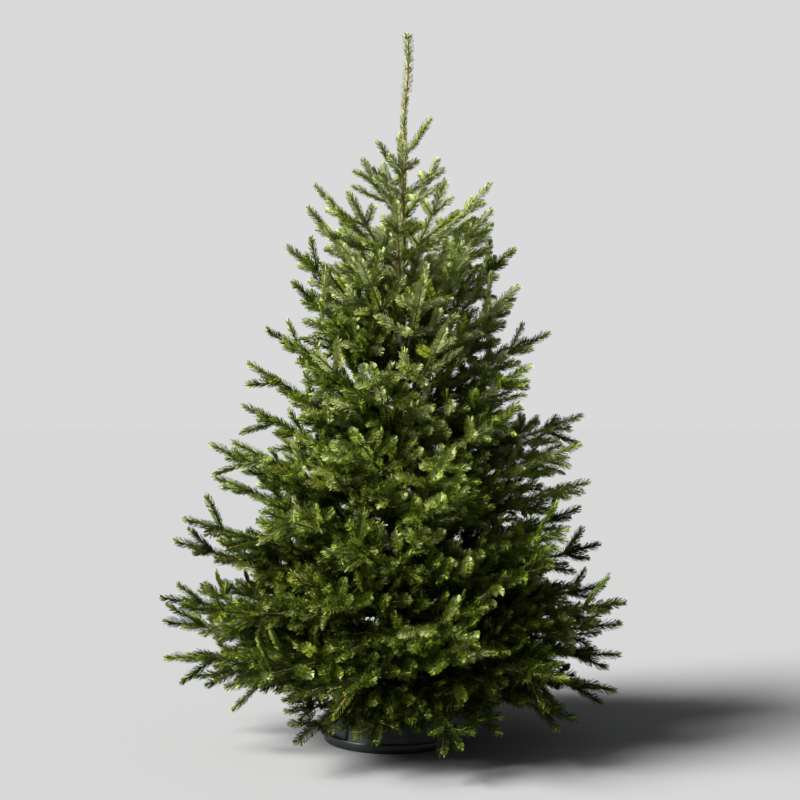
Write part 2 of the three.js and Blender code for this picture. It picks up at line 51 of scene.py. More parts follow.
# The stand is one moulding in dark green plastic: a round foot with a raised lip, and a drum that narrows upward,
# with six flat panels round it. Inside is the bowl that the foot of the trunk stands in.
class Value:
    """One value in a material's nodes. A sum of such values adds its own Math nodes."""

    def __init__(self, tree, socket):
        self.tree, self.socket = tree, socket

    @staticmethod
    def node(tree, kind, settings=None, sockets=None, output=0):
        made = tree.nodes.new(kind)
        for name, setting in (settings or {}).items():
            if name != "stops":
                setattr(made, name, setting)
                continue
            stops = made.color_ramp.elements
            while len(stops) < len(setting):
                stops.new(1)
            for stop, (place, colour) in zip(stops, setting):
                stop.position, stop.color = place, (*colour, 1)
        for name, value in (sockets or {}).items():
            if isinstance(value, Value):
                tree.links.new(value.socket, made.inputs[name])
            else:
                made.inputs[name].default_value = value
        return Value(tree, made.outputs[output])

    def math(self, operation, *others):
        values = dict(enumerate((self, *others)))
        return Value.node(self.tree, "ShaderNodeMath", {"operation": operation}, values)

    def __add__(self, other):
        return self.math("ADD", other)

    __radd__ = __add__

    def __sub__(self, other):
        return self.math("SUBTRACT", other)

    def __rsub__(self, other):
        return (self * -1) + other

    def __mul__(self, other):
        return self.math("MULTIPLY", other)

    __rmul__ = __mul__

    def clamped(self):
        return self.math("MAXIMUM", 0.0).math("MINIMUM", 1.0)

    def between(self, dark, light):
        """A colour from dark to light by this value."""
        stops = {"stops": [(0, dark), (1, light)]}
        return Value.node(self.tree, "ShaderNodeValToRGB", stops, {"Fac": self})


def new_finish(name, **constants):
    """A material, its nodes and its Principled shader. constants: what is the same all over the piece."""
    material = bpy.data.materials.new(name)
    material.use_nodes = True
    tree = material.node_tree
    shader = tree.nodes["Principled BSDF"]
    for socket, constant in constants.items():
        shader.inputs[socket.replace("_", " ")].default_value = constant
    return material, tree, shader


def grain(tree, scale, stretch=(1, 1, 1), detail=4):
    """Noise from 0 to 1 on the piece's own coordinates."""
    place = Value.node(tree, "ShaderNodeTexCoord", output="Object")
    spread = Value.node(tree, "ShaderNodeMapping", None, {"Vector": place, "Scale": stretch})
    return Value.node(tree, "ShaderNodeTexNoise", None, {"Vector": spread, "Scale": scale, "Detail": detail})


def dress(tree, shader, **values):
    for socket, value in values.items():
        tree.links.new(value.socket, shader.inputs[socket.replace("_", " ")])


def bumped(tree, height, strength, distance):
    sockets = {"Height": height, "Strength": strength, "Distance": distance}
    return Value.node(tree, "ShaderNodeBump", None, sockets)


def edit(piece):
    """Selects one piece alone, all its faces, in edit mode."""
    bpy.ops.object.mode_set(mode="OBJECT")
    bpy.ops.object.select_all(action="DESELECT")
    piece.select_set(True)
    bpy.context.view_layer.objects.active = piece
    bpy.ops.object.mode_set(mode="EDIT")
    bpy.ops.mesh.select_all(action="SELECT")


def start_clear():
    if bpy.context.object and bpy.context.object.mode != "OBJECT":
        bpy.ops.object.mode_set(mode="OBJECT")
    bpy.ops.object.select_all(action="DESELECT")


def closed_outward(piece):
    edit(piece)
    bpy.ops.mesh.remove_doubles(threshold=1e-5)
    bpy.ops.mesh.delete_loose()
    bpy.ops.mesh.select_all(action="SELECT")
    bpy.ops.mesh.normals_make_consistent(inside=False)
    bpy.ops.object.mode_set(mode="OBJECT")


def softened(piece, width, angle):
    """Rounds the sharp edges of a piece, and shades it smooth up to that angle."""
    bevel = piece.modifiers.new("edges", "BEVEL")
    bevel.width, bevel.segments = width, 2
    bevel.limit_method, bevel.angle_limit = "ANGLE", math.radians(angle)
    bpy.ops.object.select_all(action="DESELECT")
    piece.select_set(True)
    bpy.context.view_layer.objects.active = piece
    bpy.ops.object.modifier_apply(modifier="edges")
    bpy.ops.object.shade_smooth_by_angle(angle=math.radians(angle))


FOOT_LEDGE, DRUM_FOOT, DRUM_NARROWING, DRUM_HEIGHT = 0.009, 0.187, 0.035, 0.132


def drum_radius(height):
    return DRUM_FOOT - DRUM_NARROWING * (height - FOOT_LEDGE) / DRUM_HEIGHT


stand_outline = [
    (0, 0), (0.201, 0), (0.205, 0.003), (0.205, 0.023), (0.2035, 0.026), (0.2012, 0.026), (0.200, 0.023),
    (0.1985, 0.0115), (0.1955, FOOT_LEDGE), (0.1895, FOOT_LEDGE), (drum_radius(FOOT_LEDGE), 0.0095),
    *((drum_radius(height), height) for height in (0.014, 0.07, 0.131, 0.137)),
    (0.1525, 0.1405), (0.156, 0.1412), (0.157, 0.1425), (0.157, 0.1485), (0.1555, 0.150),
    (0.1475, 0.150), (0.146, 0.1485), (0.1585, 0.036), (0.155, 0.022), (0.144, 0.0145),
    (0.140, 0.014), (0.062, 0.014), (0.059, 0.0295), (0, 0.0295),
]
PANEL_STEPS = [-30, -22, -14.6, -13.4, -9, -4.5, 0, 4.5, 9, 13.4, 14.6, 22, 30]
PANEL_TURN, PANEL_EDGE, PANEL_DEPTH, SPIN_STEP = 60, 13.4, 0.004, 5
PANEL_FOOT, PANEL_TOP = 0.012, 0.133
start_clear()
bpy.ops.mesh.primitive_circle_add(vertices=len(stand_outline), radius=1)
stand = bpy.context.object
stand.name = "stand_moulding"
for corner, (radius, height) in zip(stand.data.vertices, stand_outline):
    corner.co = (radius, 0, height)
edit(stand)
bpy.ops.mesh.spin(steps=360 // SPIN_STEP, angle=math.tau, center=(0, 0, 0), axis=(0, 0, 1))
closed_outward(stand)
for corner in stand.data.vertices:
    radius = math.hypot(corner.co.x, corner.co.y)
    if radius < 1e-4:
        continue
    step = round(math.degrees(math.atan2(corner.co.y, corner.co.x)) / SPIN_STEP)
    panel = round((step * SPIN_STEP - PANEL_TURN // 2) / PANEL_TURN)
    middle = PANEL_TURN // 2 + PANEL_TURN * panel
    off = PANEL_STEPS[step - middle // SPIN_STEP + len(PANEL_STEPS) // 2]
    on_drum = PANEL_FOOT < corner.co.z < PANEL_TOP and abs(radius - drum_radius(corner.co.z)) < 0.001
    if on_drum and abs(off) <= PANEL_EDGE:
        radius = (radius + PANEL_DEPTH) / math.cos(math.radians(off))
    azimuth = math.radians(middle + off)
    corner.co = (radius * math.cos(azimuth), radius * math.sin(azimuth), corner.co.z)
softened(stand, 0.0011, 30)
plastic, tree, shader = new_finish("stand_plastic")
mottle = grain(tree, 9, detail=6)
scuffs = grain(tree, 60, (1, 1, 0.15), 8)
dress(
    tree, shader,
    Base_Color=(mottle * 0.6 + scuffs * 0.4).between((0.0025, 0.006, 0.0045), (0.0065, 0.0155, 0.0115)),
    Roughness=mottle * 0.16 + scuffs * 0.2 + 0.2,
    Normal=bumped(tree, grain(tree, 900, detail=2), 0.12, 0.0006),
)
stand.data.materials.append(plastic)
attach(stand, "root")
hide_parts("stand")


# The trunk is one straight young stem, sawn off flat at the foot, with a slight flare there and a steady taper.
# Its bark is grey-brown with fine cracks and a low collar at each whorl, and turns tan near the top.
HEIGHT, LEAN, LEADER_WAVE = 2.1, 0.042, 0.005
TRUNK_FOOT, LEADER_FOOT = 0.030, 1.73
TRUNK_TAPER = [
    (TRUNK_FOOT, 0.047), (0.095, 0.041), (1.43, 0.009), (LEADER_FOOT, 0.0055), (2.08, 0.003), (HEIGHT, 0.003),
]


def trunk_centre(height):
    wave = 0
    if height > LEADER_FOOT:
        wave = math.sin((height - LEADER_FOOT) / (HEIGHT - LEADER_FOOT) * math.tau)
    return Vector((LEAN * height / HEIGHT - LEADER_WAVE * wave, 0, height))


def trunk_radius(height):
    return float(np.interp(height, *zip(*TRUNK_TAPER)))


def rolled_bark(name, rings):
    """A sheet rolled round a stem, its seam sewn up and both ends closed. rings: its points, row by row."""
    rows, columns = len(rings), len(rings[0])
    start_clear()
    bpy.ops.mesh.primitive_grid_add(x_subdivisions=columns, y_subdivisions=rows - 1, size=1)
    stem = bpy.context.object
    stem.name = name
    flat = np.empty(len(stem.data.vertices) * 3)
    stem.data.vertices.foreach_get("co", flat)
    flat = flat.reshape(-1, 3) + 0.5
    across = np.rint(flat[:, 0] * columns).astype(int) % columns
    up = np.rint(flat[:, 1] * (rows - 1)).astype(int)
    stem.data.vertices.foreach_set("co", np.asarray(rings)[up, across].ravel())
    edit(stem)
    bpy.ops.mesh.remove_doubles(threshold=1e-6)
    bpy.ops.mesh.fill_holes(sides=0)
    bpy.ops.mesh.normals_make_consistent(inside=False)
    bpy.ops.object.mode_set(mode="OBJECT")
    bpy.ops.object.shade_smooth_by_angle(angle=math.radians(50))
    return stem


CRACK_DEPTH, PLATE_DEPTH, COLLAR_SWELL, COLLAR_WIDTH = 0.035, 0.03, 0.12, 0.014


def relief(radius, turn, length, collars=()):
    """How far the bark stands out at a place: long cracks, small plates and the collars at the whorls."""
    round_x, round_y = math.cos(turn), math.sin(turn)
    cracks = noise.noise(Vector((round_x * 5, round_y * 5, length * 22)))
    plates = noise.noise(Vector((round_x * 11, round_y * 11, length * 90 + 7)))
    swell = sum(math.exp(-(((length - collar) / COLLAR_WIDTH) ** 2)) for collar in collars)
    return radius * (CRACK_DEPTH * cracks + PLATE_DEPTH * plates + COLLAR_SWELL * swell)


COLLARS = [0.27, 0.325, 0.425, 0.565, 0.73, 0.93, 1.15, 1.39, 1.69]
BARK_TOP, BARK_ROWS, BARK_SIDES = 2.085, 560, 30
trunk_rings = []
for height in np.linspace(TRUNK_FOOT, BARK_TOP, BARK_ROWS):
    centre, radius = trunk_centre(height), trunk_radius(height)
    ring = []
    for turn in np.arange(BARK_SIDES) * math.tau / BARK_SIDES:
        out = radius + relief(radius, turn, height, COLLARS)
        ring.append(centre + Vector((out * math.cos(turn), out * math.sin(turn), 0)))
    trunk_rings.append(ring)
trunk = rolled_bark("trunk_bark", trunk_rings)


COLOUR_FACTOR, COLOUR_A, COLOUR_B, COLOUR_RESULT = 0, 6, 7, 2


def bark_finish(name, low, high, ends):
    """Bark that goes from one pair of colours to another between two heights."""
    material, tree, shader = new_finish(name)
    place = Value.node(tree, "ShaderNodeTexCoord", output="Object")
    height = Value.node(tree, "ShaderNodeSeparateXYZ", None, {"Vector": place}, output="Z")
    young = ((height - ends[0]) * (1 / (ends[1] - ends[0]))).clamped()
    cracks = grain(tree, 70, (1, 1, 0.35), 8)
    patches = grain(tree, 14, (1, 1, 0.6), 5)
    shade = (cracks * 1.5 + patches * 0.5 - 0.55).clamped()
    sockets = {COLOUR_FACTOR: young, COLOUR_A: shade.between(*low), COLOUR_B: shade.between(*high)}
    dress(
        tree, shader,
        Base_Color=Value.node(tree, "ShaderNodeMix", {"data_type": "RGBA"}, sockets, output=COLOUR_RESULT),
        Roughness=cracks * 0.25 + 0.62,
        Normal=bumped(tree, cracks + patches * 0.4, 0.6, 0.002),
    )
    return material


trunk.data.materials.append(bark_finish(
    "trunk_bark",
    low=((0.014, 0.0095, 0.006), (0.105, 0.075, 0.05)),
    high=((0.22, 0.145, 0.05), (0.47, 0.34, 0.13)),
    ends=(1.45, 1.8),
))
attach(trunk, "root")
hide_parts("trunk")


# Three clamp screws in bright zinc hold the trunk upright. Each is a threaded rod through a boss on the drum,
# with a collar and a flat wing to turn it by, and its blunt tip bites into the bark.
SCREW_HEIGHT, SCREW_TIP, SCREW_END = 0.128, 0.0385, 0.205
POINT_RADIUS, THREAD_TURNS = 0.0034, 65
screw_steps = [(0.002, 0.0046)] + [(0.001, 0.0050), (0.001, 0.0044)] * THREAD_TURNS
screw_steps += [
    (0.0005, 0.005), (0.0005, 0.0118), (0.0012, 0.012), (0.0045, 0.012), (0.0008, 0.0096), (0.0002, 0.006),
]
start_clear()
bpy.ops.mesh.primitive_circle_add(vertices=24, radius=POINT_RADIUS, fill_type="NGON")
screw = bpy.context.object
edit(screw)
reach, radius = 0, POINT_RADIUS
for step, wanted in screw_steps:
    reach += step
    bpy.ops.mesh.extrude_region_move(TRANSFORM_OT_translate={"value": (0, 0, step)})
    bpy.ops.transform.resize(value=(wanted / radius,) * 2 + (1,), center_override=(0, 0, reach))
    radius = wanted
WING_OUTLINE_LENGTH = 0.023
wing_steps = [(0.55, 0.9, 0.004), (0.9, 1.9, 0.007), (0.95, 1.5, 0.006), (1, 0.86, 0.006)]
wing_length = SCREW_END - SCREW_TIP - reach
for thick, wide, step in wing_steps:
    step *= wing_length / WING_OUTLINE_LENGTH
    reach += step
    bpy.ops.mesh.extrude_region_move(TRANSFORM_OT_translate={"value": (0, 0, step)})
    bpy.ops.transform.resize(value=(thick, wide, 1), center_override=(0, 0, reach))
closed_outward(screw)
softened(screw, 0.0004, 50)
zinc, tree, shader = new_finish("clamp_screw_zinc", Metallic=1.0)
spangle = grain(tree, 400, detail=3)
dress(
    tree, shader,
    Base_Color=spangle.between((0.32, 0.32, 0.31), (0.62, 0.62, 0.6)),
    Roughness=spangle * 0.2 + 0.24,
)
screw.data.materials.append(zinc)
BOSS_PLACE, BOSS_RADIUS, BOSS_DEPTH, BOSS_SHOULDER, BOSS_NOSE = 0.161, 0.0125, 0.008, 0.0035, 0.0025
start_clear()
bpy.ops.mesh.primitive_cylinder_add(vertices=32, radius=BOSS_RADIUS, depth=BOSS_DEPTH, location=(0, 0, 0))
boss = bpy.context.object
edit(boss)
bpy.ops.mesh.select_all(action="DESELECT")
bpy.ops.object.mode_set(mode="OBJECT")
for face in boss.data.polygons:
    face.select = face.normal.z > 0.9
bpy.ops.object.mode_set(mode="EDIT")
bpy.ops.mesh.inset(thickness=BOSS_SHOULDER)
bpy.ops.mesh.extrude_region_move(TRANSFORM_OT_translate={"value": (0, 0, BOSS_NOSE)})
closed_outward(boss)
softened(boss, 0.0008, 40)
boss.data.materials.append(plastic)
upright = Matrix.Rotation(math.pi / 2, 4, "Y")
for number, azimuth in enumerate((90, 210, 330), start=1):
    turn = Matrix.Translation((0, 0, SCREW_HEIGHT)) @ Matrix.Rotation(math.radians(azimuth), 4, "Z") @ upright
    for model, name, start in ((screw, "clamp_screw_rod", SCREW_TIP), (boss, "screw_boss", BOSS_PLACE)):
        copy = bpy.data.objects.new(f"{name}_{number}", model.data.copy())
        bpy.context.scene.collection.objects.link(copy)
        copy.data.transform(turn @ Matrix.Translation((0, 0, start)))
        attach(copy, "root")
        if model is screw:
            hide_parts(f"clamp_screw_{number}")
for model in (screw, boss):
    bpy.data.objects.remove(model)


# Nine tiers of boughs leave the trunk: three shoots at the top, seven whorls of five, and six boughs lowest, with
# weaker boughs between the tiers. Each grows by yearly lengths and sends out side shoots at its joints, a pair in
# the flat of the bough and some above and below it, which branch again in the same way.
WHORLS = [
    {"name": "top", "height": 1.69, "length": 0.132, "years": 1, "rise": 56, "lift": 60, "spread": 0.07},
    {"name": "whorl_1", "height": 1.39, "length": 0.345, "years": 3, "rise": 40, "lift": 58, "spread": 0.045},
    {"name": "whorl_2", "height": 1.15, "length": 0.425, "years": 4, "rise": 44, "lift": 40, "spread": 0.05},
    {"name": "whorl_3", "height": 0.93, "length": 0.47, "years": 4, "rise": 36, "lift": 32, "spread": 0.05},
    {"name": "whorl_4", "height": 0.73, "length": 0.55, "years": 5, "rise": 28, "lift": 26, "spread": 0.045},
    {"name": "whorl_5", "height": 0.565, "length": 0.6, "years": 5, "rise": 18, "lift": 21, "spread": 0.04},
    {"name": "whorl_6", "height": 0.425, "length": 0.65, "years": 6, "rise": 8, "lift": 15, "spread": 0.03},
    {"name": "whorl_7", "height": 0.325, "length": 0.69, "years": 6, "rise": -5, "lift": 8, "spread": 0.02},
    {"name": "lowest", "height": 0.27, "length": 0.64, "years": 5, "rise": -16, "lift": -9, "spread": 0.014},
]
BOUGHS = {
    "top": [(182, 0.132, 0), (-4, 0.132, 0), (100, 0.132, 0)],
    "whorl_1": [(-128, 0.33, -3), (-58, 0.33, 0), (6, 0.35, -4), (88, 0.33, -2), (172, 0.355, -3)],
    "whorl_2": [(-110, 0.42, -3), (-50, 0.405, 1), (4, 0.435, -3), (96, 0.42, -2), (182, 0.44, -1)],
    "whorl_3": [(-128, 0.45, -3), (-70, 0.45, 2), (-4, 0.5, -5), (70, 0.46, -2), (174, 0.48, 0)],
    "whorl_4": [(-104, 0.54, -3), (-46, 0.545, 2), (8, 0.59, -7), (92, 0.54, -2), (176, 0.52, 1)],
    "whorl_5": [(-128, 0.6, -3), (-74, 0.605, 2), (-12, 0.59, -1), (62, 0.6, -2), (170, 0.59, 0)],
    "whorl_6": [(-106, 0.65, -3), (-50, 0.65, 2), (6, 0.62, 1), (84, 0.65, -2), (178, 0.67, 2)],
    "whorl_7": [(-126, 0.69, -3), (-76, 0.69, 2), (-20, 0.67, 3), (60, 0.69, -2), (168, 0.715, -1)],
    "lowest": [(-118, 0.57, -3), (-74, 0.63, -1), (-38, 0.64, 1), (4, 0.67, 2), (92, 0.64, -2), (176, 0.61, 4)],
}
SIDES = [
    {"code": 1, "side": -1, "lift": 0, "share": 0.64, "least": 0, "turns": (0, 1)},
    {"code": 2, "side": 1, "lift": 0, "share": 0.64, "least": 0, "turns": (0, 1)},
    {"code": 3, "side": 0.5, "lift": 36, "share": 0.42, "least": 0.11, "turns": (0,)},
    {"code": 4, "side": -0.5, "lift": -26, "share": 0.4, "least": 0.1, "turns": (1,)},
]
FINE_YEAR, LEAST_SHOOT, LAST_ORDER, OPEN_WHORLS = 0.098, 0.06, 3, 2
FORK, FORK_SPREAD, TILT_SPREAD, LENGTH_SPREAD, SWERVE = 46, 9, 16, 0.3, 6
EASINGS, LEAST_ON_SIDES = (0, 11, 22), 0.55
LOWEST_TWIG, STAND_HEADROOM, STAND_ROOM_RADIUS = 0.075, 0.17, 0.225
MINGLE, TIP_LENGTH, TIP_ROOM = 0.03, 0.01, 0.004


def draw(*keys):
    """A number from 0 to 1 that depends only on its whole-number keys."""
    modulus, multiplier, state = 2147483647, 16807, 20261
    for key in (*keys, 7):
        state = (state * multiplier + key * 7919 + 11) % modulus
    return state * multiplier % modulus / modulus


def turned(vector, axis, degrees):
    return Quaternion(axis, math.radians(degrees)) @ vector


def whorl_height(whorl, distance):
    """Height of a whorl's boughs at a distance from the trunk."""
    share = min(1, distance / whorl["length"])
    slope = whorl["rise"] + (whorl["lift"] - whorl["rise"]) * share / 2
    return whorl["height"] + distance * math.tan(math.radians(slope))


def spare_room(bough, point):
    """How far a point is inside the bough's own place: to its sides, above, below and to the trunk."""
    centre = trunk_centre(point.z)
    distance = math.hypot(point.x - centre.x, point.y - centre.y)
    azimuth = math.degrees(math.atan2(point.y - centre.y, point.x - centre.x))
    off = (azimuth - bough["azimuth"] + 900) % 360 - 180
    spare = min(90, bough["left_half"] - off if off > 0 else bough["right_half"] + off)
    steep = math.cos(math.radians(bough["rise"]))
    over = (bough["ceiling"](distance) - point.z) * steep + MINGLE
    under = (point.z - bough["floor"](distance)) * steep + MINGLE
    ground = STAND_HEADROOM if distance < STAND_ROOM_RADIUS else LOWEST_TWIG
    side = distance * math.sin(math.radians(spare)) + MINGLE
    return min(side, over, under, point.z - ground, distance - trunk_radius(point.z))


def grow(bough, branch):
    """One branch and its side branches as yearly shoots, each kept inside the bough's own place."""
    years = branch["years"] or max(1, math.floor(branch["length"] / FINE_YEAR + 0.5))
    step = branch["length"] / years
    start, along, up = branch["start"], branch["along"], branch["up"]
    shoots, sides = [], []
    for year in range(years):
        left = up.cross(along).normalized()
        if year > 0:
            along = turned(turned(along, left, -branch["bend"] / years), up, branch["swerve"])
            up = along.cross(left).normalized()
        tip = start + along * step
        if branch["order"] > 0 and spare_room(bough, tip + along * TIP_LENGTH) < TIP_ROOM:
            break
        shoots.append({
            "root": start, "tip": tip, "along": along, "left": left, "up": up, "order": branch["order"],
            "year": year, "years": years, "bough": bough, "keys": [*branch["keys"], year],
        })
        remaining = branch["length"] - step * (year + 1)
        for rule in SIDES if year + 1 < years and branch["order"] < LAST_ORDER else ():
            if year % 2 not in rule["turns"] or (rule["lift"] and bough["rank"] < OPEN_WHORLS):
                continue
            keys = [*branch["keys"], year, rule["code"]]
            least = rule["least"] if branch["order"] == 0 else rule["least"] * LEAST_ON_SIDES
            wanted = max(least, LEAST_SHOOT, remaining * rule["share"] * bough["vigour"])
            length = wanted * (1 + LENGTH_SPREAD * (draw(*keys, 1) - 0.5))
            angle = FORK + FORK_SPREAD * (2 * draw(*keys, 2) - 1)
            tilt = rule["lift"] + TILT_SPREAD * (2 * draw(*keys, 3) - 1)
            for easing in EASINGS:
                found = grow(bough, {
                    "start": tip, "along": turned(turned(along, left, -tilt), up, rule["side"] * (angle - easing)),
                    "up": up, "length": length, "years": None, "bend": 0, "swerve": -rule["side"] * SWERVE,
                    "order": branch["order"] + 1, "keys": keys,
                })
                if found:
                    sides += found
                    break
        start = tip
    return [shoots, *sides] if shoots else []


def new_bough(whorl, rank, number, azimuth, halves, height, rise, length, ceiling, floor, vigour=1.0):
    turn, climb = math.radians(azimuth), math.radians(rise)
    along = Vector((math.cos(climb) * math.cos(turn), math.cos(climb) * math.sin(turn), math.sin(climb)))
    up = along.cross(Vector((-math.sin(turn), math.cos(turn), 0)))
    bough = {
        "rank": rank, "azimuth": azimuth, "left_half": halves[0], "right_half": halves[1], "rise": whorl["rise"],
        "length": length, "ceiling": ceiling, "floor": floor, "vigour": vigour, "reach": whorl["length"],
    }
    bough["branches"] = grow(bough, {
        "start": trunk_centre(height), "along": along, "up": up, "length": length, "years": whorl["years"],
        "bend": whorl["lift"] - whorl["rise"], "swerve": 0, "order": 0, "keys": [rank, number],
    })
    return bough


def level(height):
    """A bound at one height for all distances from the trunk."""
    def bound(distance):
        return height

    return bound


def along_whorl(whorl):
    """A bound that rises and falls with a whorl's boughs."""
    def bound(distance):
        return whorl_height(whorl, distance)

    return bound


def midway(first, second):
    """A bound half-way between two whorls."""
    def bound(distance):
        return (whorl_height(first, distance) + whorl_height(second, distance)) / 2

    return bound


BETWEEN_WIDTH, BETWEEN_VIGOUR = (38, 38), 0.95
LOW_BETWEEN = {7: (0.98, 5), 8: (0.8, 6)}
FILLED_GAPS, INNER_RANKS = (75, 95), (1, 2, 3)
FRONT_FROM, FRONT_TO, FRONT_DROP = -125, -20, 10
HEIGHT_SPREAD, RISE_SPREAD = 0.3, 5
# Code, place in the gap from one bough to the next, and part of the full length.
MID_GAP, GAP_START, GAP_END = (40, 0.5, 1), (60, 0.16, 1), (80, 0.84, 0.6)
tiers = []
for rank, whorl in enumerate(WHORLS):
    table = BOUGHS[whorl["name"]]
    count = len(table)
    lowest = rank + 1 == len(WHORLS)
    gaps = [(table[(j + 1) % count][0] - table[j][0] + 720) % 360 for j in range(count)]
    ceiling = midway(WHORLS[rank - 1], whorl) if rank else level(HEIGHT)
    floor = level(0) if lowest else midway(whorl, WHORLS[rank + 1])
    boughs = []
    for j, (azimuth, length, steeper) in enumerate(table):
        height = whorl["height"] + whorl["spread"] * ((j * 2) % count / (count - 1) - 0.5)
        halves = (gaps[j] / 2, gaps[j - 1] / 2)
        rise = whorl["rise"] + steeper
        boughs.append(new_bough(whorl, rank, j, azimuth, halves, height, rise, length, ceiling, floor))
    below = whorl if lowest else WHORLS[rank + 1]
    between = {key: (whorl[key] + below[key]) / 2 for key in ("height", "length", "rise", "lift", "spread")}
    between["years"] = below["years"]
    above_it = along_whorl(whorl)
    below_it = level(0) if lowest else along_whorl(below)
    shorter, raised = LOW_BETWEEN.get(rank, (1, 0))
    for j, (azimuth, _, _) in enumerate(table):
        in_gap = [MID_GAP]
        if FILLED_GAPS[0] < gaps[j] < FILLED_GAPS[1]:
            in_gap.append(GAP_START)
        if rank in INNER_RANKS:
            in_gap.append(GAP_END)
        for code, place, part in in_gap:
            height = between["height"] + HEIGHT_SPREAD * between["spread"] * (draw(rank, j, 8) - 0.5)
            length = between["length"] * (0.94 + 0.12 * draw(rank, j, code, 9)) * shorter * part
            rise = between["rise"] + RISE_SPREAD * (draw(rank, j, code, 10) - 0.5) + raised
            middle = azimuth + gaps[j] * place
            if lowest and FRONT_FROM < middle < FRONT_TO:
                rise -= FRONT_DROP
            boughs.append(new_bough(
                between, rank, j + code, middle, BETWEEN_WIDTH, height, rise, length,
                above_it, below_it, BETWEEN_VIGOUR,
            ))
    tiers.append((whorl["name"], rank, boughs[:count]))
    tiers.append((f"between_{rank}", rank, boughs[count:]))


# Every bough is a round tapering limb in bark like the trunk's, swollen a little at each yearly joint and thinning
# to a twig at its tip. Its foot is grown into the trunk.
LIMB_SIDES, RINGS_A_YEAR, LIMB_STOUTNESS, LIMB_TIP, LIMB_TAPER = 9, 7, 0.0165, 0.0017, 1.4
JOINT_SWELL, JOINT_LENGTH, PATTERN_SHIFT = 0.16, 0.12, 90


def limb_rings(axis, foot):
    """Rings of a limb's bark along a smooth line through the points of its axis. foot: its radius there."""
    points = [axis[0] * 2 - axis[1], *axis, axis[-1] * 2 - axis[-2]]
    rings = []
    years = len(axis) - 1
    for year in range(years):
        a, b, c, d = points[year : year + 4]
        drift, curl, twist = c - a, a * 2 - b * 5 + c * 4 - d, b * 3 - a - c * 3 + d
        for i in range(RINGS_A_YEAR + (year == years - 1)):
            t = i / RINGS_A_YEAR
            centre = (b * 2 + drift * t + curl * t**2 + twist * t**3) / 2
            tangent = (drift + curl * 2 * t + twist * 3 * t**2).normalized()
            left = Vector((-tangent.y, tangent.x, 0)).normalized()
            up = tangent.cross(left)
            share = (year + t) / years
            radius = foot * (1 - share) ** LIMB_TAPER + LIMB_TIP * share
            radius *= 1 + JOINT_SWELL * math.exp(-((min(t, 1 - t) / JOINT_LENGTH) ** 2))
            ring = []
            for turn in np.arange(LIMB_SIDES) * math.tau / LIMB_SIDES:
                out = radius + relief(radius, turn, share + foot * PATTERN_SHIFT)
                ring.append(centre + left * (out * math.cos(turn)) + up * (out * math.sin(turn)))
            rings.append(ring)
    return rings


bough_bark = bark_finish(
    "bough_bark",
    low=((0.03, 0.018, 0.01), (0.17, 0.105, 0.06)),
    high=((0.15, 0.1, 0.05), (0.4, 0.29, 0.16)),
    ends=(0.9, 1.6),
)
for name, _, boughs in tiers:
    limbs = []
    for number, bough in enumerate(boughs):
        axis = [bough["branches"][0][0]["root"], *(shoot["tip"] for shoot in bough["branches"][0])]
        rings = limb_rings(axis, bough["length"] * LIMB_STOUTNESS)
        limbs.append(rolled_bark(f"boughs_{name}_{number}", rings))
    start_clear()
    for limb in limbs:
        limb.select_set(True)
    bpy.context.view_layer.objects.active = limbs[0]
    bpy.ops.object.join()
    limbs[0].name = f"boughs_{name}"
    limbs[0].data.materials.append(bough_bark)
    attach(limbs[0], "root")
    if name in ("whorl_1", "lowest"):
        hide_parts(*(f"{name}_bough_{number + 1}" for number in range(len(boughs))))


# The twigs are this and last year's wood: thin, smooth and orange-brown at the tips, and grey-brown further in.
# They leave their bough in flat fans, a pair at each joint, with a few above and below.
def plain_finish(name, colour, roughness):
    return new_finish(name, Base_Color=(*colour, 1), Roughness=roughness)[0]


def joined_piece(name, points, faces, tints, finishes, smooth=False):
    """One mesh of many small things: points, faces of three corners, and the finish of each face."""
    mesh = bpy.data.meshes.new(name)
    mesh.vertices.add(len(points))
    mesh.vertices.foreach_set("co", np.asarray(points, np.float32).ravel())
    mesh.loops.add(faces.size)
    mesh.loops.foreach_set("vertex_index", faces.astype(np.int32).ravel())
    mesh.polygons.add(len(faces))
    mesh.polygons.foreach_set("loop_start", np.arange(len(faces), dtype=np.int32) * 3)
    mesh.polygons.foreach_set("material_index", tints.astype(np.int32))
    mesh.polygons.foreach_set("use_smooth", np.full(len(faces), smooth))
    mesh.update(calc_edges=True)
    mesh.validate()
    for finish in finishes:
        mesh.materials.append(finish)
    piece = bpy.data.objects.new(name, mesh)
    bpy.context.scene.collection.objects.link(piece)
    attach(piece, "root")
    return piece


def columns_of(shoots, *names):
    return [np.array([shoot[name] for shoot in shoots], float) for name in names]


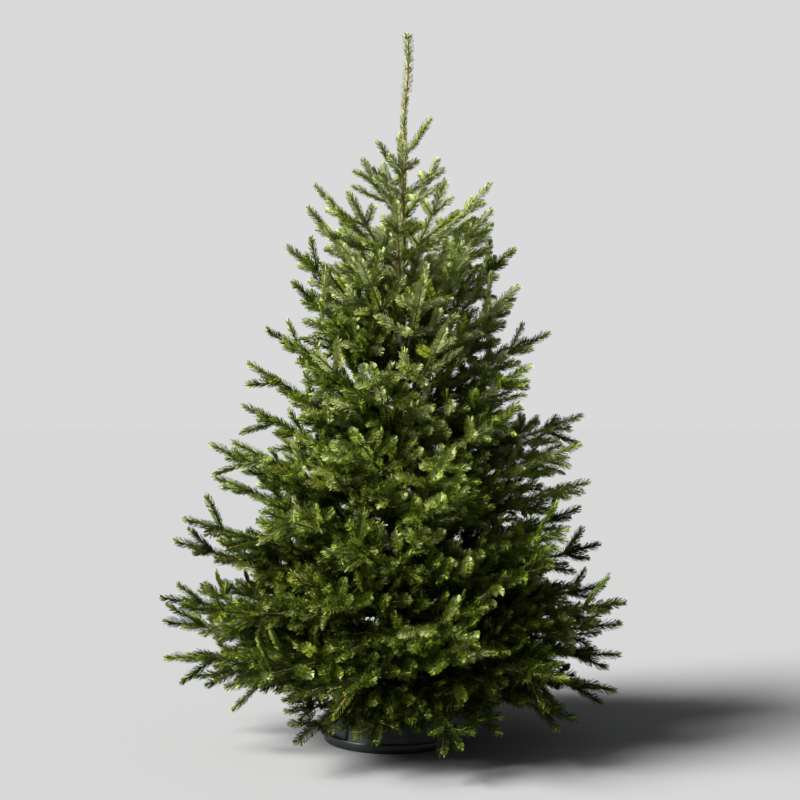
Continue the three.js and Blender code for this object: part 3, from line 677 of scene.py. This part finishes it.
twig_finishes = [
    plain_finish("twig_new_wood", (0.22, 0.125, 0.055), 0.65),
    plain_finish("twig_old_wood", (0.115, 0.072, 0.04), 0.85),
]
TWIG_SIDES, TWIG_THICKNESS = 5, np.array([0.002, 0.0015, 0.0012])
spray_lists = []
for name, rank, boughs in tiers:
    shoots = [shoot for bough in boughs for branch in bough["branches"] for shoot in branch]
    spray_lists.append((name, rank, shoots))
    side_shoots = [shoot for shoot in shoots if shoot["order"] > 0]
    if not side_shoots:
        continue
    root, tip, left, up = columns_of(side_shoots, "root", "tip", "left", "up")
    order, year, years = columns_of(side_shoots, "order", "year", "years")
    thick = TWIG_THICKNESS[order.astype(int) - 1]
    radii = np.stack([thick * (1.25 - 0.5 * year / years), thick * (1.25 - 0.5 * (year + 1) / years)], 1)
    radii[:, 1] *= np.where(year + 1 == years, 0.7, 1)
    turns = np.arange(TWIG_SIDES) * math.tau / TWIG_SIDES
    round_about = np.cos(turns)[:, None] * left[:, None] + np.sin(turns)[:, None] * up[:, None]
    ends = np.stack([root, tip], 1)[:, :, None] + round_about[:, None] * radii[:, :, None, None]
    j = np.arange(TWIG_SIDES)
    k = (j + 1) % TWIG_SIDES
    pattern = [(j, j + TWIG_SIDES, k + TWIG_SIDES), (j, k + TWIG_SIDES, k)]
    caps = [(TWIG_SIDES, TWIG_SIDES + i + 1, TWIG_SIDES + i) for i in range(1, TWIG_SIDES - 1)]
    caps += [(0, i, i + 1) for i in range(1, TWIG_SIDES - 1)]
    pattern = np.concatenate([np.stack(p, 1) for p in pattern] + [np.array(caps)])
    faces = (pattern[None] + np.arange(len(side_shoots))[:, None, None] * 2 * TWIG_SIDES).reshape(-1, 3)
    old = np.repeat((year + 1 < years).astype(int), len(pattern))
    twigs = joined_piece(f"twigs_{name}", ends.reshape(-1, 3), faces, old, twig_finishes, smooth=True)


# The needles are flat and blunt, about 20 mm long, and stand nearly all round each shoot, leaning forward. Each
# is a strip with a slight twist, and a spray has one tint of green, with some needles a tint darker or paler.
def green_finish(name, colour, roughness):
    """Waxy green: the gloss is weak, and takes some of the leaf's colour."""
    gloss = {"Specular_IOR_Level": 0.15, "Specular_Tint": (0.95, 1, 0.5, 1)}
    return new_finish(name, Base_Color=(*colour, 1), Roughness=roughness, **gloss)[0]


needle_finishes = [
    green_finish("needles_deep_green", (0.021, 0.035, 0.0025), 0.5),
    green_finish("needles_green", (0.062, 0.1, 0.006), 0.45),
    green_finish("needles_fresh_green", (0.155, 0.215, 0.022), 0.42),
    green_finish("needles_pale_green", (0.33, 0.385, 0.165), 0.42),
    green_finish("needles_yellow_green", (0.17, 0.215, 0.02), 0.45),
]
SHADED_TINT, PALE_TINT, YELLOW_TINT, TINT_LIMITS = 1, 3, 4, [0.2, 0.5, 0.78]
NEEDLE_LENGTH, NEEDLE_SPACING, NEEDLE_SPREAD, NEEDLE_OPENING, FEWEST_NEEDLES = 0.018, 0.00051, 160, 43, 6
HALF_WIDTH_AT_FOOT, HALF_WIDTH_AT_TIP, TWIG_BARK, TWIST = 0.0007, 0.00105, 0.0012, 0.3
TIP_FROM, TIP_SHARE, FOOT_SHARE, FRESH_FROM = 0.82, 0.18, 0.15, 0.86


def habits_of(shoots, **usual):
    """How needles grow on each shoot: its own values, or else the usual ones."""
    return [np.array([shoot.get(name, value) for shoot in shoots]) for name, value in usual.items()]


def needles_on(shoots, seed, spread=NEEDLE_SPREAD, spacing=NEEDLE_SPACING, one_stem=False):
    """Points, faces and tints of the needles on shoots, each a strip of two faces. one_stem: the shoots are
    steps of a single stem, so needles don't shorten towards the foot of each."""
    pick = np.random.default_rng(seed)
    root, tip, along, left, up = columns_of(shoots, "root", "tip", "along", "left", "up")
    bare, density, opening, scale, broad = habits_of(
        shoots, bare=0.0, density=1.0, opening=NEEDLE_OPENING, size=1.0, broad=1.0
    )
    shoot_length = np.linalg.norm(tip - root, axis=1)
    counts = np.maximum(FEWEST_NEEDLES, np.rint(shoot_length * (1 - bare) / spacing * density)).astype(int)
    of = np.repeat(np.arange(len(shoots)), counts)
    number = np.arange(len(of)) - np.repeat(np.cumsum(counts) - counts, counts)
    share = (number + pick.random(len(of))) / counts[of]
    share = bare[of] + (1 - bare[of]) * share
    turn = pick.uniform(-1, 1, len(of))
    turn = np.sign(turn) * np.abs(turn) ** 0.85 * math.radians(spread)
    ending = np.array([shoot["year"] + 1 == shoot["years"] for shoot in shoots], float)
    pitch = np.radians(opening[of] + pick.uniform(-5, 5, len(of)))
    near_tip = np.clip((share - TIP_FROM) / TIP_SHARE, 0, 1) * (0.2 + 0.8 * ending[of])
    near_foot = np.clip(1 - share / FOOT_SHARE, 0, 1) * (not one_stem)
    pitch *= 1 - 0.5 * near_tip
    size = NEEDLE_LENGTH * pick.uniform(0.93, 1.05, len(of)) * (1 - 0.22 * near_tip) * (1 - 0.28 * near_foot)
    size *= scale[of]
    out = np.cos(turn)[:, None] * up[of] + np.sin(turn)[:, None] * left[of]
    heading = np.cos(pitch)[:, None] * along[of] + np.sin(pitch)[:, None] * out
    foot = root[of] + along[of] * (share * shoot_length[of])[:, None] + out * TWIG_BARK
    flat = np.cross(heading, out)
    flat /= np.linalg.norm(flat, axis=1)[:, None]
    lean = pick.uniform(-0.35, 0.35, len(of))[:, None]
    face = np.cross(flat, heading)
    at_foot, at_tip = (flat + (lean + twist) * face for twist in (-TWIST, TWIST))
    at_foot *= (HALF_WIDTH_AT_FOOT * broad[of] / np.linalg.norm(at_foot, axis=1))[:, None]
    at_tip *= (HALF_WIDTH_AT_TIP * broad[of] / np.linalg.norm(at_tip, axis=1))[:, None]
    end = foot + heading * size[:, None]
    corners = np.stack([foot - at_foot, foot + at_foot, end + at_tip, end - at_tip], 1)
    faces = np.array([(0, 1, 2), (0, 2, 3)])[None] + np.arange(len(of))[:, None, None] * 4
    tints = np.array([shoot["tint"] for shoot in shoots])[of]
    nearby = pick.choice([-1, 0, 1], len(of), p=[0.13, 0.72, 0.15])
    tints = tints + np.where(tints < YELLOW_TINT, nearby, 0)
    tints = np.where((share > FRESH_FROM) & (tints < PALE_TINT), tints + 1, tints)
    return corners.reshape(-1, 3), faces.reshape(-1, 3), np.repeat(np.clip(tints, 0, YELLOW_TINT), 2)


INNER_ZONE, MIDDLE_ZONE, YELLOW_ABOVE = 0.42, 0.64, 0.975
# Partly painted light: the height and reach terms make higher and outer sprays paler and lower ones darker, partly
# for younger growth and partly as painted light and shade.
BY_CHANCE, YOUTH_AND_PAINTED_LIGHT_BY_HEIGHT, YOUTH_AND_PAINTED_LIGHT_BY_REACH, MIDDLE_HEIGHT = 0.66, 0.5, 0.06, 0.64


def habit(rank, distance):
    """How close, broad and long needles are: deep inside the crown they are fewer, broader and longer."""
    if rank > 1 and distance < INNER_ZONE:
        return (0.95, 1.6, 1.2) if rank < 5 else (0.33, 2.4, 1.3)
    if rank > 1 and distance < MIDDLE_ZONE:
        return 0.7, 1.4, 1.12
    return 1.35 if rank < 3 else 1.0, 1.0, 1.1


for number, (name, rank, shoots) in enumerate(spray_lists):
    for shoot in shoots:
        keys = shoot["keys"]
        distance = math.hypot(shoot["tip"].x, shoot["tip"].y) / shoot["bough"]["reach"]
        higher = shoot["tip"].z - MIDDLE_HEIGHT
        # Tint level: chance, plus painted light that grows with height and reach (partly also younger growth up
        # high and outside).
        shade = draw(*keys, 21) * BY_CHANCE + YOUTH_AND_PAINTED_LIGHT_BY_HEIGHT * higher + YOUTH_AND_PAINTED_LIGHT_BY_REACH * min(1, distance)
        yellow = draw(*keys, 23) > YELLOW_ABOVE
        shoot["tint"] = YELLOW_TINT if yellow else int(np.searchsorted(TINT_LIMITS, shade))
        # Painted shade: sprays deep inside the crown are held to the two darkest greens.
        if rank > 1 and distance < INNER_ZONE:
            shoot["tint"] = min(shoot["tint"], SHADED_TINT)
        shoot["density"], shoot["broad"], longer = habit(rank, distance)
        shoot["size"] = (0.98 + 0.03 * rank) * longer * (0.92 + 0.16 * draw(*keys, 22))
        if rank == 0:
            shoot["bare"] = 0.1
        elif shoot["order"] == 0 and shoot["year"] == 0:
            shoot["bare"] = 0.55
    points, faces, tints = needles_on(shoots, 100 + number)
    needles = joined_piece(f"needles_{name}", points, faces, tints, needle_finishes)
    if name in BOUGHS:
        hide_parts(*(f"{name}_foliage_{place + 1}" for place in range(len(BOUGHS[name]))))


# The shoots end in winter buds, one at the tip and two or three close about it, blunt and scaly, tan brown or
# pale green.
bud_finishes = [
    plain_finish("buds_tan_brown", (0.26, 0.14, 0.065), 0.5),
    plain_finish("buds_pale_green", (0.24, 0.26, 0.09), 0.5),
]
TIP_BUD, SIDE_BUD, BUD_SETBACK, BUD_OPENING = (0.008, 0.0026), (0.0065, 0.0021), 0.002, 0.9
BROWN_SHARE, SPARSE = 0.7, 0.5
SIDELONG, WIDEST = np.array([0.13, 0.31, 0.94]), 0.45


def buds_on(places):
    """Points, faces and finishes of buds. places: foot, heading, length, radius and finish of each bud."""
    foot, heading, length, radius, colours = map(np.array, zip(*places))
    length, radius = length[:, None], radius[:, None]
    flat = np.cross(heading, SIDELONG)
    flat /= np.linalg.norm(flat, axis=1)[:, None]
    deep = np.cross(heading, flat)
    rings = [foot]
    for quarter in range(4):
        turn = quarter * math.pi / 2
        rings.append(foot + heading * length * WIDEST + (flat * math.cos(turn) + deep * math.sin(turn)) * radius)
    rings.append(foot + heading * length)
    pattern = []
    for quarter in range(4):
        following = (quarter + 1) % 4
        pattern += [(0, 1 + following, 1 + quarter), (1 + quarter, 1 + following, 5)]
    pattern = np.array(pattern)
    faces = (pattern[None] + np.arange(len(places))[:, None, None] * 6).reshape(-1, 3)
    return np.stack(rings, 1).reshape(-1, 3), faces, np.repeat(colours, len(pattern))


for name, _, shoots in spray_lists:
    places = []
    for shoot in shoots:
        if shoot["year"] + 1 < shoot["years"] or shoot["density"] < SPARSE:
            continue
        keys = shoot["keys"]
        colour = int(draw(*keys, 31) > BROWN_SHARE)
        count = 2 + int(draw(*keys, 32) * 1.5)
        places.append((shoot["tip"], shoot["along"], *TIP_BUD, colour))
        for j in range(count):
            turn = math.tau * (j + draw(*keys, 33)) / count
            aside = shoot["left"] * math.cos(turn) + shoot["up"] * math.sin(turn)
            heading = (shoot["along"] + aside * BUD_OPENING).normalized()
            places.append((shoot["tip"] - shoot["along"] * BUD_SETBACK, heading, *SIDE_BUD, colour))
    buds = joined_piece(f"buds_{name}", *buds_on(places), bud_finishes, smooth=True)


# The leader is this year's top shoot, nearly 0.4 m of tan stem. Needles stand round it all the way, close to it
# low down and wide apart higher up, and fat green buds sit on it in pairs and in a cluster at its tip.
LEADER_TINTS = [2, 3, 3, 2, 3, 2, 3, 2, 3, 3, 2, 3]
LEADER_START, LEADER_END, LEADER_STEP, WIDE_ABOVE = LEADER_FOOT - 0.02, 2.05, 0.031, 1.88
CLOSE_HABIT = {"size": 0.98, "opening": 38, "density": 1.2}
WIDE_HABIT = {"size": 1.22, "opening": 52, "density": 0.85}
leader_shoots = []
for number, height in enumerate(np.linspace(LEADER_START, LEADER_END, len(LEADER_TINTS))):
    root, tip = trunk_centre(height), trunk_centre(height + LEADER_STEP)
    along = (tip - root).normalized()
    left = Vector((0, 1, 0)).cross(along).normalized()
    leader_shoots.append({
        "root": root, "tip": tip, "along": along, "left": left, "up": along.cross(left),
        "year": number, "years": len(LEADER_TINTS), "tint": LEADER_TINTS[number],
        **(WIDE_HABIT if height > WIDE_ABOVE else CLOSE_HABIT),
    })
points, faces, tints = needles_on(leader_shoots, 77, spread=180, spacing=0.00055, one_stem=True)
leader_needles = joined_piece("needles_leader", points, faces, tints, needle_finishes)
LEADER_BUDS = [(2.08, 1, 90, 1.3), (2.078, 4, 38, 1.1), (1.985, 2, 42, 1), (1.922, 2, 42, 1)]
LEADER_BUD_LENGTH, LEADER_BUD_RADIUS, PALE_GREEN = 0.0155, 0.0042, 1
places = []
for height, count, pitch, size in LEADER_BUDS:
    for j in range(count):
        turn, rise = math.radians(j * 360 / count + 20), math.radians(pitch)
        heading = Vector((math.cos(rise) * math.cos(turn), math.cos(rise) * math.sin(turn), math.sin(rise)))
        bud = (LEADER_BUD_LENGTH * size, LEADER_BUD_RADIUS * size, PALE_GREEN)
        places.append((trunk_centre(height), heading, *bud))
leader_buds = joined_piece("buds_leader", *buds_on(places), bud_finishes, smooth=True)


# A plain pale floor under the tree.
start_clear()
bpy.ops.mesh.primitive_plane_add(size=60, location=(0, 0, -0.0006))
floor_plane = bpy.context.object
floor_plane.name = "floor"
pale = new_finish("floor_pale", Base_Color=(0.2095, 0.2142, 0.2233, 1), Roughness=1.0, Specular_IOR_Level=0.0)[0]
floor_plane.data.materials.append(pale)


# Light: one broad soft sun high on the left in front, and a pale even surround that lights less than it shows.
sun = bpy.data.lights.new("sun", "SUN")
sun.energy, sun.color, sun.angle = 14.5, (1, 0.98, 0.93), math.radians(30)
sun_holder = bpy.data.objects.new("sun", sun)
sun_holder.rotation_mode = "QUATERNION"
sun_holder.rotation_quaternion = Vector((-0.95, -0.38, 0.9)).to_track_quat("Z", "Y")
bpy.context.scene.collection.objects.link(sun_holder)
SURROUND_LIGHT, SURROUND_SHOWN = 0.22, 0.7
world = bpy.data.worlds.new("surround")
world.use_nodes = True
tree = world.node_tree
seen = Value.node(tree, "ShaderNodeLightPath")
strength = seen * (SURROUND_SHOWN - SURROUND_LIGHT) + SURROUND_LIGHT
tree.nodes["Background"].inputs["Color"].default_value = (1, 1, 1, 1)
tree.links.new(strength.socket, tree.nodes["Background"].inputs["Strength"])
bpy.context.scene.world = world
bpy.context.scene.view_settings.view_transform = "Standard"
